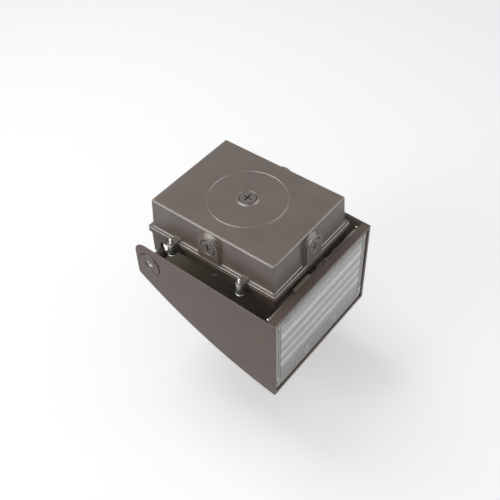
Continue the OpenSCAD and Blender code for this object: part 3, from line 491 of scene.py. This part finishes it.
def zinc_sleeve_set():
    """Zinc-plated sleeves round the ends of the four screw ears: a thin tube of 5.02 mm radius and
    18.6 mm length whose last 1.6 mm flares by 0.5 mm to a rounded foot."""
    r = np.array([4.82, 4.98, 5.02, 5.02, 5.02, 5.3, 5.5, 5.52, 5.4, 5.1, 4.82, 4.82])
    h = np.array([0.0, 0.05, 0.3, 9.0, 16.9, 17.1, 17.4, 17.9, 18.3, 18.55, 18.6, 0.0])
    points, quads = turned(r, h, 40)
    return mesh_from_arrays("zinc_ear_sleeves", *many(points, quads, at_cover_screws(SLEEVE_OUT)))


def cover_screw_set():
    """Four machine screws, drawn from the tip to the head. The tip is a dome, the shank is
    r = R - depth * (0.5 + 0.5 cos(a - 2 pi h / pitch)), and a pan head follows."""
    shank_r, tip_len, thread, pitch, turns = 2.0, 1.1, 0.26, 0.8, 32
    length = LUG_FACE_OUT - SCREW_TIP_OUT
    h = np.concatenate([[0.0], np.linspace(0.02, length, 150)])
    a = np.linspace(0, 2 * math.pi, turns, endpoint=False)[None, :]
    dome = shank_r * np.sqrt(np.clip(1 - (1 - np.clip(h / tip_len, 0, 1)) ** 2, 0, 1))[:, None]
    depth = thread * np.clip((h - tip_len) / 0.8, 0, 1)[:, None]
    shank = dome - depth * (0.5 + 0.5 * np.cos(a - 2 * math.pi * h[:, None] / pitch))
    head_r = np.array([3.6, 3.9, 3.9, 3.6, 2.8, 1.5, 0.0])[:, None] * np.ones_like(a)
    head_h = length + np.array([0.0, 0.4, 1.4, 2.1, 2.45, 2.6, 2.6])
    points, quads = turned(np.concatenate([shank, head_r]), np.concatenate([h, head_h]), turns)
    seats = at_cover_screws(SCREW_TIP_OUT)
    return mesh_from_arrays("threaded_cover_screws", *many(points, quads, seats))


def rounded_rows(half_w, half_h, radius, rows):
    """Heights y from one end of a rounded rectangle to the other, closer together in the corners,
    and the half width there: half_w - r + sqrt(r^2 - (|y| - (half_h - r))^2)."""
    turn = np.linspace(0, math.pi / 2, 9)
    low = -half_h + radius * (1 - np.cos(turn))
    middle = np.linspace(-half_h + radius, half_h - radius, rows)[1:-1]
    y = np.concatenate([low, middle, -low[::-1]])
    into = np.clip(np.abs(y) - (half_h - radius), 0, radius)
    return y, half_w - radius + np.sqrt(radius**2 - into**2)


def lens_surface():
    """The clear lens: a rounded slab whose lower face is a height field. Each rib is a bar with round ends
    and the profile 1.1 - 2.3 (distance / half pitch)^2, so that V grooves part the ribs; a half-round
    bead runs beside the rib ends, and every screw stands in a pocket with a raised lip."""
    back, front = -112.0, -117.0
    half_w, half_h, corner_r, middle = 99.1, 66.15, 8.0, 131.15
    rib_end, rib_rise, rib_fall = 79.8, 1.1, 2.3
    bead_x, bead_r, bead_out, bead_half = 94.4, 2.8, 126.3, 48.0
    edge_w, edge_fall = 1.2, 0.9
    pocket_r, pocket_depth, lip_r, lip_w, lip_rise = 4.3, 1.6, 4.9, 0.45, 0.9

    y, width = rounded_rows(half_w, half_h, corner_r, 260)
    u = np.linspace(-1, 1, 300)
    x = width[:, None] * u[None, :]
    out = middle + y[:, None] * np.ones_like(u)[None, :]
    rise = np.zeros_like(x)
    for i in range(RIB_COUNT):
        along = np.clip(np.abs(x) - rib_end, 0, None)
        distance = np.hypot(along, out - (FIRST_RIB_OUT + RIB_PITCH * i)) / (RIB_PITCH / 2)
        rise = np.where(distance < 1, rib_rise - rib_fall * distance**2, rise)
    past_bead = np.clip(np.abs(out - bead_out) - bead_half, 0, None)
    bead = np.hypot(np.abs(x) - bead_x, past_bead) / bead_r
    rise = np.maximum(rise, np.sqrt(np.clip(1 - bead**2, 0, 1)))
    edge = np.minimum(width[:, None] - np.abs(x), half_h - np.abs(y)[:, None])
    rise -= edge_fall * np.clip(1 - edge / edge_w, 0, 1) ** 2
    for screw_x, screw_out in LENS_SCREWS:
        ring = np.hypot(np.abs(x) - screw_x, out - screw_out)
        rise = np.where(ring < pocket_r, -pocket_depth, rise)
        rise += lip_rise * np.exp(-(((ring - lip_r) / lip_w) ** 2))
    lower = np.stack([x, -out, front - rise], axis=-1).reshape(-1, 3)

    # The flat upper face: the lower face's rim, and a ring of as many points that all lie in the middle.
    rows, cols = x.shape
    n = rows * cols
    rim = np.concatenate([
        np.arange(cols),
        np.arange(1, rows) * cols + cols - 1,
        (rows - 1) * cols + np.arange(cols - 2, -1, -1),
        np.arange(rows - 2, 0, -1) * cols,
    ])
    upper = lower[rim] * [1, 1, 0] + [0, 0, back]
    inner = upper * 0 + [0, -middle, back]
    here = np.arange(len(rim))
    there = np.roll(here, -1)
    wall = np.stack([rim, rim[there], n + there, n + here], axis=-1)
    fan = np.stack([n + here, n + there, n + len(rim) + there, n + len(rim) + here], axis=-1)
    quads = np.concatenate([grid_quads(rows, cols), wall, fan])
    return mesh_from_arrays("ribbed_lens", np.concatenate([lower, upper, inner]), quads)


def led_set():
    """Sixty packages in five rows of twelve: a square white frame of 3.5 mm with a low yellow dome,
    each a turned body of four corners round a round one."""
    first_out, row_pitch, rows, row_length, per_row, board_z = 87.3, 19.5, 5, 181.2, 12, -109.1
    frame_r = np.array([0.0, 2.47, 2.47, 2.1, 1.75])
    frame_h = np.array([0.0, 0.0, 0.75, 0.8, 0.62])
    t = np.linspace(0, math.pi / 2, 6)
    r = np.concatenate([frame_r, 1.72 * np.cos(t)])
    points, quads = turned(r, np.concatenate([frame_h, 0.62 + 0.55 * np.sin(t)]), 16)
    a = np.arctan2(points[:, 1], points[:, 0])
    square = 1 / (math.sqrt(2) * np.maximum(np.abs(np.cos(a)), np.abs(np.sin(a))))
    squared = np.hypot(points[:, 0], points[:, 1]) > 2.0
    points[:, :2] *= np.where(squared, square, 1.0)[:, None]
    step = row_length / per_row
    seats = [
        (DOWN, ((j - (per_row - 1) / 2) * step, -(first_out + row_pitch * i), board_z))
        for i in range(rows) for j in range(per_row)
    ]
    return mesh_from_arrays("led_packages", *many(points, quads, seats))


for make, node_names, body, material, slot_name in [
    (cover_screw_set, ("cover_screws",), "housing", zinc_plate, "screw_steel"),
    (zinc_sleeve_set, (), "housing", zinc_plate, "screw_steel"),
    (conduit_plug_set, PLUGS, "housing", plug_coat, "bronze_plug"),
    (frame_screw_set, ("rim_screws",), "head", bright_steel, "screw_steel"),
    (lens_screw_set, ("lens_screws",), "head", dark_steel, "screw_steel"),
    (lens_surface, ("lens",), "head", lens_plastic, "lens_clear"),
    (led_set, ("leds",), "head", phosphor, "led_yellow"),
]:
    piece = smooth(make())
    piece.data.materials.append(material)
    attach(piece, body)
    if node_names:
        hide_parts(*node_names)


# Stage: a pale floor on the lamp side, because the photograph shows the light lying on its lamp.
WHITE = (1.0, 1.0, 1.0, 1.0)


def seen_directly(tree):
    """1 for camera, glossy and transmission rays, which see the white room; 0 for diffuse light."""
    path = put(tree, "LightPath").outputs
    seen = 0.0
    for ray in ("Is Glossy Ray", "Is Transmission Ray", "Is Camera Ray"):
        seen = put(tree, "Math", {0: seen, 1: path[ray]}, operation="MAXIMUM")
    return seen


def pale_floor():
    """Matt white paper, seen only from its lit side."""
    mat, tree = new_material("white_paper_floor")
    matt = put(tree, "BsdfDiffuse", Color=linear("#f2f2f2"))
    strength = put(tree, "Math", {0: seen_directly(tree), 1: 0.25}, operation="MULTIPLY")
    glow = put(tree, "Emission", Color=WHITE, Strength=strength)
    paper = put(tree, "AddShader", {0: matt, 1: glow})
    behind = put(tree, "NewGeometry").outputs["Backfacing"]
    through = put(tree, "BsdfTransparent")
    put(tree, "OutputMaterial", Surface=put(tree, "MixShader", {0: behind, 1: paper, 2: through}))
    return mat


# The floor lies below the reach of the tilted head.
FLOOR_Y, FLOOR_HALF = -0.290, 6.0
corners = [(-1, -1), (-1, 1), (1, 1), (1, -1)]
floor_mesh = bpy.data.meshes.new("paper_floor")
floor_points = [(FLOOR_HALF * sx, FLOOR_Y, FLOOR_HALF * sz) for sx, sz in corners]
floor_mesh.from_pydata(floor_points, [], [(0, 1, 2, 3)])
floor_mesh.materials.append(pale_floor())
floor = bpy.data.objects.new("paper_floor", floor_mesh)
bpy.context.collection.objects.link(floor)

world = bpy.data.worlds.new("white_studio")
bpy.context.scene.world = world
world.use_nodes = True
sky = world.node_tree
sky.nodes.clear()
fill = put(sky, "Background", Color=WHITE, Strength=0.46)
room = put(sky, "Background", Color=WHITE, Strength=1.0)
put(sky, "OutputWorld", Surface=put(sky, "MixShader", {0: seen_directly(sky), 1: fill, 2: room}))


def softbox(name, direction, distance, size, power, gloss=False, axis=(0.0, 0.0, 1.0)):
    """An area light standing in a direction from the middle of the part, facing it, with its width square
    to an axis. It lights either the matt side of things or, as a strip of white card does in a studio,
    only their gloss."""
    centre = np.array([0.0, -0.09, 0.0])
    d = np.array(direction, dtype=float)
    d /= np.linalg.norm(d)
    side = np.cross(np.array(axis), d)
    side /= np.linalg.norm(side)
    up = np.cross(d, side)
    place = centre + d * distance
    lamp = bpy.data.lights.new(name, "AREA")
    lamp.shape = "RECTANGLE"
    lamp.size, lamp.size_y = size
    lamp.energy = power
    obj = bpy.data.objects.new(name, lamp)
    columns = np.column_stack([side, up, d, place])
    obj.matrix_world = Matrix(np.vstack([columns, [0.0, 0.0, 0.0, 1.0]]).tolist())
    obj.visible_diffuse = not gloss
    obj.visible_glossy = gloss
    bpy.context.collection.objects.link(obj)


softbox("key_softbox", (0.75, 0.53, 0.30), 1.6, (0.5, 0.5), 4.5)
softbox("top_softbox", (-0.05, 0.86, 0.48), 1.7, (0.9, 0.9), 8.9)
softbox("right_softbox", (-0.53, 0.44, -0.73), 1.8, (0.6, 0.6), 1.4)
softbox("front_softbox", (0.50, 0.72, -0.42), 1.7, (0.4, 0.4), 2.0)
softbox("near_edge_card", (0.66, 0.60, 0.33), 1.6, (3.2, 1.8), 112.0, gloss=True)
softbox(
    "right_edge_card", (-0.50, 0.55, -0.62), 1.6, (1.8, 1.4), 32.0, gloss=True, axis=(1.0, 0.0, 0.0)
)

# Camera fitted to the photograph: seen from the near lower corner with the wall face on top. Its focal
# length of 782.9 px in a picture 500 px wide is 56.37 mm on a sensor of 36 mm.
camera_data = bpy.data.cameras.new("camera")
camera_data.sensor_width = 36.0
camera_data.sensor_fit = "HORIZONTAL"
camera_data.lens = 56.37
camera = bpy.data.objects.new("camera", camera_data)
camera.matrix_world = Matrix([
    [-0.61573, -0.58507, 0.52780, 0.54551],
    [-0.02571, 0.68439, 0.72866, 0.66022],
    [-0.78754, 0.43509, -0.43644, -0.45141],
    [0.0, 0.0, 0.0, 1.0],
])
bpy.context.collection.objects.link(camera)
bpy.context.scene.camera = camera
bpy.context.scene.view_settings.view_transform = "Standard"
